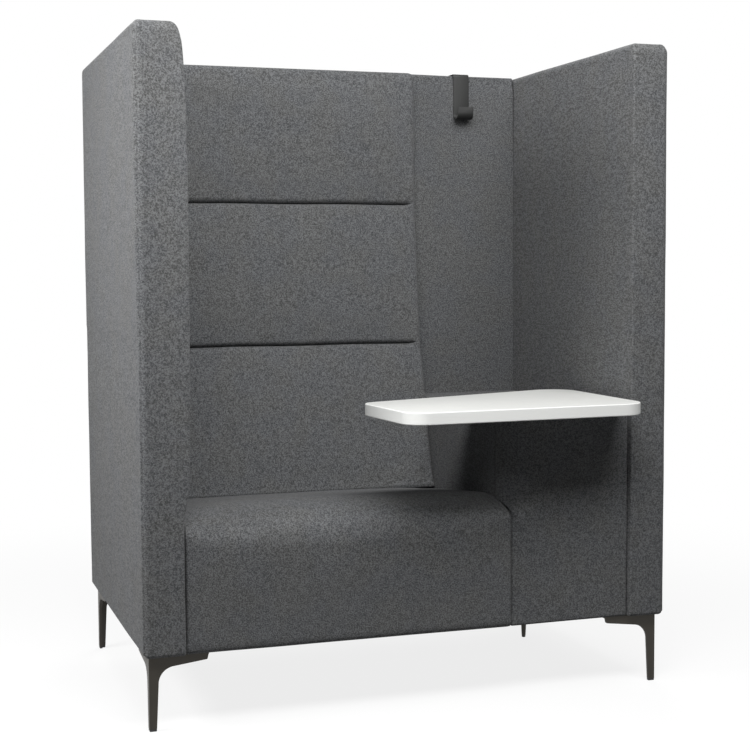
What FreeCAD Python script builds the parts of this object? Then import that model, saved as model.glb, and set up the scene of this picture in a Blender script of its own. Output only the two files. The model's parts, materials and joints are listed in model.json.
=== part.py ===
import FreeCAD, Part
import math
import os

os.makedirs("parts", exist_ok=True)

Vector = FreeCAD.Vector

# A one-person privacy booth sofa: a high back between two high wings, an upholstered
# seat, and a small fixed table on an upholstered pedestal at the right-hand side.
# Sizes are in millimetres. While the booth is drawn, X runs to the right as seen from
# the front, with 0 on the middle line. Y runs back from the front plane of the wings,
# and Z runs up from the floor. Each piece is moved to the booth's middle when saved.

# Overall sizes
overall_width = 1158.0
overall_height = 1400.0
wing_depth = 750.0
ground_clearance = 152.0

# Wings and back: battens between two boards, wrapped in foam and cloth
wing_thickness = 86.5
back_thickness = 112.0
back_rear_inset = 6.0
cloth = 1.5
cover_ease = 0.3
panel_foam = 20.0
panel_board = 6.0
batten_width = 60.0
middle_rail_count = 2
hem_width = 28.0
dust_sheet = 0.8
dust_sheet_gap = 1.0

# Seat: the side profile is a front, a short rise to a crest and a long fall to the back
seat_width = 706.0
seat_setback = 3.0
seat_front_height = 402.0
seat_front_radius = 30.0
seat_crest_depth = 93.0
seat_crest_height = 434.0
seat_crest_radius = 310.0
shortest_straight = 2.0
seat_rear_height = 374.0
seat_base_radius = 18.0
seat_end_radius = 8.0
seat_front_foam = 25.0
seat_end_foam = 8.0
seat_deck_height = 290.0
plywood = 18.0
corner_block = 60.0
strap_width = 50.0
strap_thickness = 2.0
long_strap_count = 7
cross_strap_count = 4

# Back cushion: three crowned sections between two sewn tucks
cushion_top_drop = 2.0
upper_tuck_height = 1076.0
lower_tuck_height = 736.0
cushion_thickness_top = 33.0
cushion_thickness_upper_tuck = 35.0
cushion_thickness_lower_tuck = 72.0
cushion_thickness_seat = 166.0
cushion_crown = 7.0
cushion_tuck_radius = 16.0
cushion_end_radius = 12.0
cushion_board = 12.0
cushion_board_margin = 16.0
cushion_seat_gap = 1.0
grip_tape = 3.0
grip_tape_width = 50.0

# Pedestal that fills the corner beside the seat and carries the table
pedestal_setback = 12.0
pedestal_corner_radius = 70.0
pedestal_edge_radius = 10.0
pedestal_foam = 20.0
pedestal_rail_width = 68.0
pedestal_rail_height = 40.0

# Table: a slab with four rounded corners, fixed to the pedestal through a steel plate
table_height = 636.0
table_thickness = 25.0
table_wing_gap = 24.0
table_length_front = 542.0
table_length_rear = 561.5
table_overhang_right = 125.0
table_overhang_left = 155.0
table_depth_right = 302.0
table_depth_left = 104.0
table_outer_radius = 58.0
table_inner_radius = 45.0
table_edge_round = 2.0
edge_band = 2.0
edge_band_glue = 0.1
table_plate_thickness = 6.0
table_plate_depth = 230.0
table_plate_setback = 40.0
table_bolt_inset = 30.0
table_bolt_wall_gap = 22.0
table_bolt_bite = 15.0

# Corner legs: two curved webs at a right angle under a corner plate
leg_side_inset = 14.0
leg_front_inset = 20.0
leg_flange = 122.0
leg_flange_end = 14.0
leg_flange_root = 26.0
leg_flange_rake = 3.0
leg_post_top = 21.0
leg_post_tip = 15.0
leg_web = 7.0
leg_curve = 34.0
leg_plate = 4.0
leg_plate_land = 44.0
glide_height = 5.0
glide_inset = 0.4
glide_round = 1.5

# Straight middle foot under the pedestal
foot_from_wing = 40.5
foot_from_front = 476.0
foot_flange_radius = 28.0
foot_top_radius = 12.0
foot_tip_radius = 5.0
foot_screw_spread = 19.0

# Fasteners
screw_radius = 3.0
screw_head_radius = 5.5
screw_head_height = 3.5
screw_bite = 30.0
screw_near = 26.0
screw_along = 95.0
screw_across = 108.0
bolt_radius = 4.0
bolt_head_radius = 8.0
bolt_head_height = 5.0
bolt_rise = 33.0
bolt_bite = 28.0
stud_radius = 5.0
stud_bite = 34.0
batten_end_wood = 4.0
stud_count = 3
stud_end_distance = 140.0
drill_ease = 0.2

# Coat hook: a strip bent over the top of the back, with an upturned end
hook_from_wing = 125.0
hook_width = 41.0
hook_strip = 2.5
hook_ease = 0.5
hook_rear_lip = 38.0
hook_drop = 112.0
hook_reach = 34.0
hook_upturn = 30.0
hook_bend = 5.0
hook_bowl = 13.0

# Places worked out from the sizes
inner_half = overall_width / 2 - wing_thickness
back_face = wing_depth - back_rear_inset - back_thickness
seat_left = -inner_half
seat_right = seat_left + seat_width
base = ground_clearance
core_base = base + cloth
foam_inset = cloth + cover_ease
panel_core_inset = foam_inset + panel_foam
panel_edge_radius = cloth + panel_foam
table_underside = table_height - table_thickness
pedestal_top = table_underside - table_plate_thickness
seat_slope = (seat_crest_height - seat_rear_height) / (back_face - seat_setback - seat_crest_depth)
far = overall_height + overall_width + wing_depth
up = (0, 0, 1)

pieces = {}


def box(low, high):
    """A box between its lowest and highest corners."""
    size = [high[i] - low[i] for i in range(3)]
    return Part.makeBox(size[0], size[1], size[2], Vector(low[0], low[1], low[2]))


def rounded_box(low, high, radius):
    """A box with every edge rounded."""
    plain = box(low, high)
    return plain.makeFillet(radius, plain.Edges)


def rod(radius, start, direction, length):
    """A round bar from a start point along a direction."""
    return Part.makeCylinder(radius, length, Vector(*start), Vector(*direction))


def group(solids):
    """Several separate solids kept together in one piece."""
    return Part.makeCompound(solids)


def on_side(x):
    """Places an outline of (Y, Z) points on the plane at this X."""
    return lambda y, z: Vector(x, y, z)


def on_plan(z):
    """Places an outline of (X, Y) points on the level plane at this Z."""
    return lambda x, y: Vector(x, y, z)


def half_corner(before, corner, after):
    """Half of the angle between the two edges of an outline's corner."""
    point = Vector(corner[0], corner[1], 0)
    back = Vector(before[0], before[1], 0) - point
    ahead = Vector(after[0], after[1], 0) - point
    return back.getAngle(ahead) / 2


def corner_arc(before, corner, after):
    """Start, middle, end and centre of the arc that rounds one corner of an outline."""
    point = Vector(corner[0], corner[1], 0)
    back = (Vector(before[0], before[1], 0) - point).normalize()
    ahead = (Vector(after[0], after[1], 0) - point).normalize()
    half_angle = half_corner(before, corner, after)
    radius = corner[2]
    run = radius / math.tan(half_angle)
    inward = (back + ahead).normalize()
    centre = point + inward * (radius / math.sin(half_angle))
    return point + back * run, centre - inward * radius, point + ahead * run, centre


def outline_arcs(corners):
    """The arcs of all the corners of a closed outline of (a, b, radius) corners."""
    count = len(corners)
    return [corner_arc(corners[i - 1], corners[i], corners[(i + 1) % count]) for i in range(count)]


def outline_face(corners, place):
    """A flat face inside a closed outline whose corners are rounded by their radii."""
    arcs = outline_arcs(corners)
    edges = []
    for i, (start, middle, end, centre) in enumerate(arcs):
        if corners[i][2] > 0:
            curve = Part.Arc(place(start.x, start.y), place(middle.x, middle.y), place(end.x, end.y))
            edges.append(curve.toShape())
        following = arcs[(i + 1) % len(arcs)][0]
        edges.append(Part.makeLine(place(end.x, end.y), place(following.x, following.y)))
    return Part.Face(Part.Wire(edges))


def inset_outline(corners, distances):
    """The outline drawn in by one distance per edge; edge i leaves corner i, anticlockwise."""
    count = len(corners)
    result = []
    for i in range(count):
        lines = []
        for edge in (i - 1, i):
            first = corners[edge]
            second = corners[(edge + 1) % count]
            run = Vector(second[0] - first[0], second[1] - first[1], 0).normalize()
            normal = Vector(-run.y, run.x, 0)
            start = Vector(first[0], first[1], 0) + normal * distances[edge]
            lines.append((start, run, normal))
        (point, run, normal), (other, _, other_normal) = lines
        step = (other - point).dot(other_normal) / run.dot(other_normal)
        meeting = point + run * step
        radius = max(corners[i][2] - min(distances[i - 1], distances[i]), 0)
        result.append((meeting.x, meeting.y, radius))
    return result


def even_inset(corners, distance):
    """The outline drawn in by the same distance on every edge."""
    return inset_outline(corners, [distance] * len(corners))


def side_prism(corners, left, right):
    """A side outline of (Y, Z) corners carried across from left to right."""
    return outline_face(corners, on_side(left)).extrude(Vector(right - left, 0, 0))


def plan_prism(corners, low, high):
    """A plan outline of (X, Y) corners carried up from low to high."""
    return outline_face(corners, on_plan(low)).extrude(Vector(0, 0, high - low))


def lies_on(edge, axis, value):
    """Whether both ends of an edge lie on the plane at this value along an axis (0, 1, 2)."""
    return all(abs(vertex.Point[axis] - value) < 1e-6 for vertex in edge.Vertexes)


def spread(first, last, count):
    """Evenly spaced values from first to last."""
    return [first + (last - first) * i / (count - 1) for i in range(count)]


def drill(names, holes):
    """Cuts clearance holes out of the named pieces."""
    for name in names:
        pieces[name] = pieces[name].cut(holes)


def upholstered_panel(name, low, high, thin, board_names):
    """A padded panel: batten frame, a board on each broad face, foam, cover and dust sheet.

    thin is the axis that the thickness lies along, 0 for X or 1 for Y. The foam and the
    cover are open underneath, where the cover is turned in as a hem.
    """
    along = 1 - thin
    inner_low = [low[0] + cloth, low[1] + cloth, low[2] + cloth]
    inner_high = [value - cloth for value in high]
    hem_low = [low[0] + hem_width, low[1] + hem_width, low[2] - cloth]
    hem_high = [high[0] - hem_width, high[1] - hem_width, low[2] + 2 * cloth]
    cover = rounded_box(low, high, panel_edge_radius)
    cover = cover.cut(rounded_box(inner_low, inner_high, panel_edge_radius - cloth))
    pieces[name + "_cover"] = cover.cut(box(hem_low, hem_high))

    core_low = [low[0] + panel_core_inset, low[1] + panel_core_inset, core_base]
    core_high = [value - panel_core_inset for value in high]
    foam_low = [value + foam_inset for value in low]
    foam_high = [value - foam_inset for value in high]
    foam = rounded_box(foam_low, foam_high, panel_edge_radius - foam_inset)
    pieces[name + "_foam"] = foam.cut(box([core_low[0], core_low[1], low[2]], core_high))

    first_board_high = list(core_high)
    first_board_high[thin] = core_low[thin] + panel_board
    second_board_low = list(core_low)
    second_board_low[thin] = core_high[thin] - panel_board
    pieces[name + board_names[0]] = box(core_low, first_board_high)
    pieces[name + board_names[1]] = box(second_board_low, core_high)

    frame_low = list(core_low)
    frame_low[thin] = core_low[thin] + panel_board
    frame_high = list(core_high)
    frame_high[thin] = core_high[thin] - panel_board
    battens = []
    for start in (frame_low[along], frame_high[along] - batten_width):
        upright_low = list(frame_low)
        upright_low[along] = start
        upright_high = list(frame_high)
        upright_high[along] = start + batten_width
        battens.append(box(upright_low, upright_high))
    for height in spread(frame_low[2], frame_high[2] - batten_width, middle_rail_count + 2):
        rail_low = list(frame_low)
        rail_low[along] = frame_low[along] + batten_width
        rail_low[2] = height
        rail_high = list(frame_high)
        rail_high[along] = frame_high[along] - batten_width
        rail_high[2] = height + batten_width
        battens.append(box(rail_low, rail_high))
    pieces[name + "_frame"] = group(battens)
    pieces[name + "_dust_sheet"] = underside_sheet(low, high)


def underside_sheet(low, high):
    """A thin sheet against the underside of a frame, inside the hem of its cover."""
    margin = hem_width + dust_sheet_gap
    sheet_low = [low[0] + margin, low[1] + margin, core_base - dust_sheet]
    sheet_high = [high[0] - margin, high[1] - margin, core_base]
    return box(sheet_low, sheet_high)


# Wings and back
wing_inner_outer = ("_outer_board", "_inner_board")
upholstered_panel(
    "left_wing",
    [-overall_width / 2, 0, base],
    [-inner_half, wing_depth, overall_height],
    0,
    wing_inner_outer,
)
upholstered_panel(
    "right_wing",
    [inner_half, 0, base],
    [overall_width / 2, wing_depth, overall_height],
    0,
    wing_inner_outer[::-1],
)
upholstered_panel(
    "back",
    [-inner_half, back_face, base],
    [inner_half, back_face + back_thickness, overall_height],
    1,
    ("_front_board", "_rear_board"),
)


# Seat
def seat_top_at(depth):
    """Height of the straight rear part of the seat's top at a depth from the front plane."""
    return seat_crest_height - seat_slope * (depth - seat_setback - seat_crest_depth)


seat_base_corner = (seat_setback, base, seat_base_radius)
seat_front_corner = (seat_setback, seat_front_height, seat_front_radius)
seat_crest = (seat_setback + seat_crest_depth, seat_crest_height)
seat_rear_corner = (back_face, seat_top_at(back_face), 0)
seat_rise = math.hypot(seat_crest_depth, seat_crest_height - seat_front_height)
seat_front_run = seat_front_radius / math.tan(half_corner(seat_base_corner, seat_front_corner, seat_crest))
crest_room = seat_rise - seat_front_run - shortest_straight
crest_limit = crest_room * math.tan(half_corner(seat_front_corner, seat_crest, seat_rear_corner))
seat_outline = [
    seat_base_corner,
    (back_face, base, 0),
    seat_rear_corner,
    (seat_crest[0], seat_crest[1], min(seat_crest_radius, crest_limit)),
    seat_front_corner,
]


def seat_form(distance):
    """The seat's padded form drawn in all round, with its two end edges rounded."""
    corners = even_inset(seat_outline, distance)
    left = seat_left + distance
    right = seat_right - distance
    rear = back_face - distance
    form = side_prism(corners, left, right)
    edges = []
    for edge in form.Edges:
        at_end = lies_on(edge, 0, left) or lies_on(edge, 0, right)
        if at_end and not lies_on(edge, 1, rear):
            edges.append(edge)
    return form.makeFillet(seat_end_radius - distance, edges)


seat_low = [seat_left, seat_setback, base]
seat_high = [seat_right, back_face, base]
seat_opening = box(
    [seat_left + hem_width, seat_setback + hem_width, base - cloth],
    [seat_right - hem_width, back_face - hem_width, base + 2 * cloth],
)
pieces["seat_cover"] = seat_form(0).cut(seat_form(cloth)).cut(seat_opening)

carcass_low = [seat_left + foam_inset + seat_end_foam, seat_setback + foam_inset + seat_front_foam, core_base]
carcass_high = [seat_right - foam_inset - seat_end_foam, back_face - foam_inset, seat_deck_height]
seat_foam_base = seat_deck_height + 2 * strap_thickness
seat_padding = seat_form(foam_inset)
above_deck = box([-far, -far, seat_foam_base], [far, far, far])
carcass_room = box([carcass_low[0], carcass_low[1], 0], [carcass_high[0], far, seat_foam_base])
pieces["seat_foam"] = seat_padding.common(above_deck)
pieces["seat_front_pad"] = seat_padding.cut(above_deck).cut(carcass_room)

carcass_boards = [
    box(carcass_low, [carcass_high[0], carcass_low[1] + plywood, seat_deck_height]),
    box([carcass_low[0], carcass_high[1] - plywood, core_base], carcass_high),
]
seat_middle = (carcass_low[0] + carcass_high[0]) / 2
for board_left in (carcass_low[0], seat_middle - plywood / 2, carcass_high[0] - plywood):
    carcass_boards.append(
        box(
            [board_left, carcass_low[1] + plywood, core_base],
            [board_left + plywood, carcass_high[1] - plywood, seat_deck_height],
        )
    )
block_front = carcass_low[1] + plywood
for block_left in (carcass_low[0] + plywood, carcass_high[0] - plywood - corner_block):
    carcass_boards.append(
        box(
            [block_left, block_front, core_base],
            [block_left + corner_block, block_front + corner_block, core_base + corner_block],
        )
    )
pieces["seat_carcass"] = group(carcass_boards)

straps = []
for strap_left in spread(carcass_low[0], carcass_high[0] - strap_width, long_strap_count):
    straps.append(
        box(
            [strap_left, carcass_low[1], seat_deck_height],
            [strap_left + strap_width, carcass_high[1], seat_deck_height + strap_thickness],
        )
    )
for strap_front in spread(carcass_low[1], carcass_high[1] - strap_width, cross_strap_count + 2)[1:-1]:
    straps.append(
        box(
            [carcass_low[0], strap_front, seat_deck_height + strap_thickness],
            [carcass_high[0], strap_front + strap_width, seat_foam_base],
        )
    )
pieces["seat_webbing"] = group(straps)
pieces["seat_dust_sheet"] = underside_sheet(seat_low, seat_high)


# Back cushion
cushion_board_back = back_face - grip_tape
cushion_board_front = cushion_board_back - cushion_board
thinnest = min(cushion_thickness_top, cushion_thickness_upper_tuck, cushion_thickness_lower_tuck)
thinnest_padding = thinnest - grip_tape - cushion_board
tuck_radius = min(cushion_tuck_radius, thinnest_padding - shortest_straight)
end_radius = min(cushion_end_radius, tuck_radius - shortest_straight)


def cushion_section(low_thickness, high_thickness, low, high, low_at_back):
    """Side outline of one section: its front is crowned and rounded in to the tucks."""
    low_front = back_face - low_thickness
    high_front = back_face - high_thickness
    run = math.hypot(high - low, high_front - low_front)
    crown_turn = 2 * math.atan(2 * cushion_crown / run)
    crown_radius = (run / 2 - 2 * tuck_radius) / math.tan(crown_turn / 2)
    out = Vector(low - high, high_front - low_front, 0).normalize() * cushion_crown
    return [
        (low_front, low, tuck_radius),
        (back_face, low_at_back, 0),
        (back_face, high, 0),
        (high_front, high, tuck_radius),
        ((low_front + high_front) / 2 + out.x, (low + high) / 2 + out.y, crown_radius),
    ]


cushion_top = overall_height - cushion_top_drop
cushion_foot_front = seat_top_at(back_face - cushion_thickness_seat) + cushion_seat_gap
cushion_foot_back = seat_top_at(back_face) + cushion_seat_gap
cushion_outlines = [
    cushion_section(
        cushion_thickness_seat,
        cushion_thickness_lower_tuck,
        cushion_foot_front,
        lower_tuck_height,
        cushion_foot_back,
    ),
    cushion_section(
        cushion_thickness_lower_tuck,
        cushion_thickness_upper_tuck,
        lower_tuck_height,
        upper_tuck_height,
        lower_tuck_height,
    ),
    cushion_section(
        cushion_thickness_upper_tuck,
        cushion_thickness_top,
        upper_tuck_height,
        cushion_top,
        upper_tuck_height,
    ),
]


def cushion_form(corners, distance, rear):
    """One section drawn in by a distance, reaching back to the rear plane, ends rounded."""
    distances = [distance, back_face - rear, distance, distance, distance]
    left = seat_left + distance
    right = seat_right - distance
    form = side_prism(inset_outline(corners, distances), left, right)
    edges = []
    for edge in form.Edges:
        at_end = lies_on(edge, 0, left) or lies_on(edge, 0, right)
        if at_end and not lies_on(edge, 1, rear):
            edges.append(edge)
    return form.makeFillet(end_radius - distance, edges)


board_left = seat_left + cushion_board_margin
board_right = seat_right - cushion_board_margin
board_low = cushion_foot_front + cushion_board_margin
board_high = cushion_top - cushion_board_margin
past_back = back_face + panel_foam
outer_sections = [cushion_form(corners, 0, back_face) for corners in cushion_outlines]
cushion_cover = outer_sections[0].fuse(outer_sections[1:])
for corners in cushion_outlines:
    cushion_cover = cushion_cover.cut(cushion_form(corners, cloth, past_back))
for tuck in (lower_tuck_height, upper_tuck_height):
    board_slot = box(
        [board_left - cover_ease, cushion_board_front - cover_ease, tuck - 2 * cloth],
        [board_right + cover_ease, past_back, tuck + 2 * cloth],
    )
    cushion_cover = cushion_cover.cut(board_slot)
pieces["back_cushion_cover"] = cushion_cover
pieces["back_cushion_foam"] = group(
    [cushion_form(corners, foam_inset, cushion_board_front) for corners in cushion_outlines]
)
pieces["back_cushion_board"] = box(
    [board_left, cushion_board_front, board_low], [board_right, cushion_board_back, board_high]
)
tapes = []
for tape_left in spread(board_left, board_right - grip_tape_width, 3):
    tapes.append(
        box([tape_left, cushion_board_back, board_low], [tape_left + grip_tape_width, back_face, board_high])
    )
pieces["back_cushion_grip_tapes"] = group(tapes)

# Pedestal
pedestal_outline = [
    (seat_right, pedestal_setback, pedestal_corner_radius),
    (inner_half, pedestal_setback, 0),
    (inner_half, back_face, 0),
    (seat_right, back_face, 0),
]


def pedestal_form(distance):
    """The pedestal drawn in all round, with its level edges rounded."""
    low = base + distance
    high = pedestal_top - distance
    form = plan_prism(even_inset(pedestal_outline, distance), low, high)
    edges = [edge for edge in form.Edges if lies_on(edge, 2, low) or lies_on(edge, 2, high)]
    front_and_left = []
    for edge in edges:
        at_wing = lies_on(edge, 0, inner_half - distance)
        at_back = lies_on(edge, 1, back_face - distance)
        if not at_wing and not at_back:
            front_and_left.append(edge)
    return form.makeFillet(pedestal_edge_radius - distance, front_and_left)


pedestal_low = [seat_right, pedestal_setback, base]
pedestal_high = [inner_half, back_face, base]
pedestal_opening_outline = even_inset(pedestal_outline, hem_width)
pedestal_opening = plan_prism(pedestal_opening_outline, base - cloth, base + 2 * cloth)
pieces["pedestal_cover"] = pedestal_form(0).cut(pedestal_form(cloth)).cut(pedestal_opening)

pedestal_core_outline = even_inset(pedestal_outline, foam_inset + pedestal_foam)
pedestal_room_outline = even_inset(pedestal_core_outline, plywood)
top_board_base = pedestal_top - cloth - plywood
pedestal_core = plan_prism(pedestal_core_outline, 0, overall_height)
pieces["pedestal_foam"] = pedestal_form(foam_inset).cut(pedestal_core)
pedestal_walls = plan_prism(pedestal_core_outline, core_base, top_board_base)
pedestal_walls = pedestal_walls.cut(plan_prism(pedestal_room_outline, core_base, top_board_base))
foot_x = inner_half - foot_from_wing
foot_y = foot_from_front
wall_inset = foam_inset + pedestal_foam + plywood
foot_rail = box(
    [seat_right + wall_inset, foot_y - pedestal_rail_width / 2, core_base],
    [inner_half - wall_inset, foot_y + pedestal_rail_width / 2, core_base + pedestal_rail_height],
)
pieces["pedestal_carcass"] = group([pedestal_walls, foot_rail])
pieces["pedestal_top_board"] = plan_prism(pedestal_core_outline, top_board_base, pedestal_top - cloth)
pedestal_sheet_outline = even_inset(pedestal_outline, hem_width + dust_sheet_gap)
pieces["pedestal_dust_sheet"] = plan_prism(pedestal_sheet_outline, core_base - dust_sheet, core_base)

# Table
table_right = inner_half - table_wing_gap
table_outline = [
    (table_right - table_length_front, -table_overhang_left, table_inner_radius),
    (table_right, -table_overhang_right, table_outer_radius),
    (table_right, table_depth_right, table_outer_radius),
    (table_right - table_length_rear, table_depth_left, table_inner_radius),
]
table_slab = plan_prism(table_outline, table_underside, table_height)
rims = []
for edge in table_slab.Edges:
    if lies_on(edge, 2, table_underside) or lies_on(edge, 2, table_height):
        rims.append(edge)
table_slab = table_slab.makeFillet(table_edge_round, rims)
band_room = plan_prism(even_inset(table_outline, edge_band), table_underside, table_height)
core_outline = even_inset(table_outline, edge_band + edge_band_glue)
pieces["table_top"] = plan_prism(core_outline, table_underside, table_height)
pieces["table_edge_band"] = table_slab.cut(band_room)

bolt_left = seat_right + wall_inset + table_bolt_wall_gap
bolt_right = inner_half - wall_inset - table_bolt_wall_gap
plate_left = bolt_left - table_bolt_inset
plate_right = bolt_right + table_bolt_inset
plate_front = pedestal_setback + table_plate_setback
plate_rear = plate_front + table_plate_depth
pieces["table_plate"] = box(
    [plate_left, plate_front, pedestal_top], [plate_right, plate_rear, table_underside]
)
table_bolts = []
table_bolt_holes = []
bolt_length = table_underside + table_bolt_bite - top_board_base
for bolt_x in (bolt_left, bolt_right):
    for bolt_y in (plate_front + table_bolt_inset, plate_rear - table_bolt_inset):
        shank_start = (bolt_x, bolt_y, top_board_base)
        head_start = (bolt_x, bolt_y, top_board_base - bolt_head_height)
        shank = rod(bolt_radius, shank_start, up, bolt_length)
        head = rod(bolt_head_radius, head_start, up, bolt_head_height)
        table_bolts.append(shank.fuse(head).removeSplitter())
        table_bolt_holes.append(rod(bolt_radius + drill_ease, shank_start, up, bolt_length + drill_ease))
pieces["table_bolts"] = group(table_bolts)
drill(
    ["pedestal_top_board", "pedestal_cover", "table_plate", "table_top"],
    group(table_bolt_holes),
)

# Legs, glides and leg screws
leg_web_outline = [
    (0, base, 0),
    (0, glide_height, 0),
    (leg_post_tip, glide_height, 0),
    (leg_post_top, base - leg_flange_root, leg_curve),
    (leg_flange - leg_flange_rake, base - leg_flange_end, leg_flange_rake),
    (leg_flange, base, 0),
]
leg_plate_outline = [
    (0, 0, 0),
    (leg_flange, 0, 0),
    (leg_flange, leg_plate_land, 0),
    (leg_plate_land, leg_flange, 0),
    (0, leg_flange, 0),
]
glide_outline = [
    (0, 0, 0),
    (leg_post_tip, 0, 0),
    (leg_post_tip, leg_web, 0),
    (leg_web, leg_web, 0),
    (leg_web, leg_post_tip, 0),
    (0, leg_post_tip, 0),
]
leg_screw_places = [
    (screw_near, screw_near),
    (screw_near, screw_along),
    (screw_across, screw_near),
]


def front_left_leg():
    """A leg with its outer corner on the Z axis and its webs along +X and +Y."""
    across_web = outline_face(leg_web_outline, lambda s, z: Vector(s, 0, z)).extrude(Vector(0, leg_web, 0))
    along_web = outline_face(leg_web_outline, lambda s, z: Vector(0, s, z)).extrude(Vector(leg_web, 0, 0))
    plate = plan_prism(leg_plate_outline, base - leg_plate, base)
    leg = across_web.fuse([along_web, plate]).removeSplitter()
    for place in leg_screw_places:
        hole_start = (place[0], place[1], base - 2 * leg_plate)
        leg = leg.cut(rod(screw_radius + drill_ease, hole_start, up, 3 * leg_plate))
    return leg


def rounded_foot(shape):
    """A glide with its lower edges rounded."""
    return shape.makeFillet(glide_round, [edge for edge in shape.Edges if lies_on(edge, 2, 0)])


def turned(shape, across, along):
    """A copy mirrored across X where across is -1 and along Y where along is -1."""
    copy = shape.copy()
    if across < 0:
        copy = copy.mirror(Vector(0, 0, 0), Vector(1, 0, 0))
    if along < 0:
        copy = copy.mirror(Vector(0, 0, 0), Vector(0, 1, 0))
    return copy


leg_shape = front_left_leg()
glide_shape = rounded_foot(plan_prism(even_inset(glide_outline, glide_inset), 0, glide_height))
leg_corner_x = overall_width / 2 - leg_side_inset
leg_corners = {
    "front_left_leg": (-leg_corner_x, leg_front_inset, 1, 1),
    "front_right_leg": (leg_corner_x, leg_front_inset, -1, 1),
    "rear_left_leg": (-leg_corner_x, wing_depth - leg_front_inset, 1, -1),
    "rear_right_leg": (leg_corner_x, wing_depth - leg_front_inset, -1, -1),
}
glides = []
screws = []
screw_holes = []


def add_screw(x, y, under):
    """A screw whose head sits under a plate, and the hole that it needs above the plate."""
    length = base - under + screw_bite
    shank = rod(screw_radius, (x, y, under), up, length)
    head = rod(screw_head_radius, (x, y, under - screw_head_height), up, screw_head_height)
    screws.append(shank.fuse(head).removeSplitter())
    screw_holes.append(rod(screw_radius + drill_ease, (x, y, under), up, length + drill_ease))


for name, (corner_x, corner_y, across, along) in leg_corners.items():
    move = Vector(corner_x, corner_y, 0)
    pieces[name] = turned(leg_shape, across, along).translated(move)
    glides.append(turned(glide_shape, across, along).translated(move))
    for place in leg_screw_places:
        add_screw(corner_x + across * place[0], corner_y + along * place[1], base - leg_plate)

foot_flange_base = base - leg_plate
foot_post = Part.makeCone(
    foot_tip_radius, foot_top_radius, foot_flange_base - glide_height, Vector(foot_x, foot_y, glide_height)
)
foot_flange = rod(foot_flange_radius, (foot_x, foot_y, foot_flange_base), up, leg_plate)
middle_foot = foot_post.fuse(foot_flange).removeSplitter()
for screw_y in (foot_y - foot_screw_spread, foot_y + foot_screw_spread):
    add_screw(foot_x, screw_y, foot_flange_base)
pieces["middle_foot"] = middle_foot.cut(group(screw_holes[-2:]))
foot_glide = rod(foot_tip_radius - glide_inset, (foot_x, foot_y, 0), up, glide_height)
glides.append(rounded_foot(foot_glide))
pieces["leg_glides"] = group(glides)
pieces["leg_screws"] = group(screws)
drill(
    [
        "left_wing_cover",
        "left_wing_dust_sheet",
        "left_wing_frame",
        "right_wing_cover",
        "right_wing_dust_sheet",
        "right_wing_frame",
        "back_cover",
        "back_dust_sheet",
        "back_frame",
        "seat_cover",
        "seat_dust_sheet",
        "seat_carcass",
        "pedestal_cover",
        "pedestal_dust_sheet",
        "pedestal_carcass",
    ],
    group(screw_holes),
)

# Bolts that join the seat and the pedestal to the panels beside them
bolt_height = base + bolt_rise
joining_bolts = []


def join_with_bolt(start, direction, length, names):
    """A bolt with its head against a carcass board, drilled through the named pieces."""
    head = rod(bolt_head_radius, start, [-value for value in direction], bolt_head_height)
    shank = rod(bolt_radius, start, direction, length)
    joining_bolts.append(shank.fuse(head).removeSplitter())
    drill(names, rod(bolt_radius + drill_ease, start, direction, length + drill_ease))


def wing_layers(side):
    """The pieces of one wing that a bolt from its inner face goes through."""
    return [side + "_wing" + layer for layer in ("_cover", "_foam", "_inner_board", "_frame")]


seat_layers = ["seat_carcass", "seat_front_pad", "seat_cover"]
pedestal_layers = ["pedestal_cover", "pedestal_foam", "pedestal_carcass"]
bolt_depths = (carcass_low[1] + corner_block + 2 * plywood, carcass_high[1] - corner_block - 2 * plywood)
panel_frame_inset = panel_core_inset + panel_board
seat_left_face = carcass_low[0] + plywood
seat_right_face = carcass_high[0] - plywood
pedestal_wall_face = inner_half - wall_inset
wing_batten_thickness = wing_thickness - 2 * panel_frame_inset
wing_bite_limit = wing_batten_thickness - batten_end_wood
seat_to_wing = seat_left_face + inner_half + panel_frame_inset + min(bolt_bite, wing_bite_limit)
seat_to_pedestal = seat_right + wall_inset - seat_right_face
pedestal_to_wing = wall_inset + panel_frame_inset + min(bolt_bite, wing_bite_limit)
for depth in bolt_depths:
    left_start = (seat_left_face, depth, bolt_height)
    join_with_bolt(left_start, (-1, 0, 0), seat_to_wing, seat_layers + wing_layers("left"))
    middle_start = (seat_right_face, depth, bolt_height)
    join_with_bolt(middle_start, (1, 0, 0), seat_to_pedestal, seat_layers + pedestal_layers)
    right_start = (pedestal_wall_face, depth, bolt_height)
    join_with_bolt(right_start, (1, 0, 0), pedestal_to_wing, pedestal_layers + wing_layers("right"))
seat_rear_face = carcass_high[1] - plywood
to_back = back_face - seat_rear_face + panel_frame_inset + bolt_bite
rear_bolt_inset = corner_block + plywood
for bolt_x in (carcass_low[0] + rear_bolt_inset, carcass_high[0] - rear_bolt_inset):
    join_with_bolt(
        (bolt_x, seat_rear_face, bolt_height),
        (0, 1, 0),
        to_back,
        ["seat_carcass", "seat_cover", "back_cover", "back_foam", "back_front_board", "back_frame"],
    )
pieces["joining_bolts"] = group(joining_bolts)

# Studs that join the back to the wings
studs = []
stud_y = back_face + back_thickness / 2
stud_inner = inner_half - panel_core_inset - stud_bite
stud_outer = inner_half + panel_frame_inset + min(stud_bite, wing_bite_limit)
for stud_z in spread(base + stud_end_distance, overall_height - stud_end_distance, stud_count):
    for side, direction in (("left", -1), ("right", 1)):
        start = (direction * stud_inner, stud_y, stud_z)
        length = stud_outer - stud_inner
        studs.append(rod(stud_radius, start, (direction, 0, 0), length))
        drill(
            wing_layers(side) + ["back_cover", "back_foam", "back_frame"],
            rod(stud_radius + drill_ease, start, (direction, 0, 0), length + drill_ease),
        )
pieces["panel_studs"] = group(studs)

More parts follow.
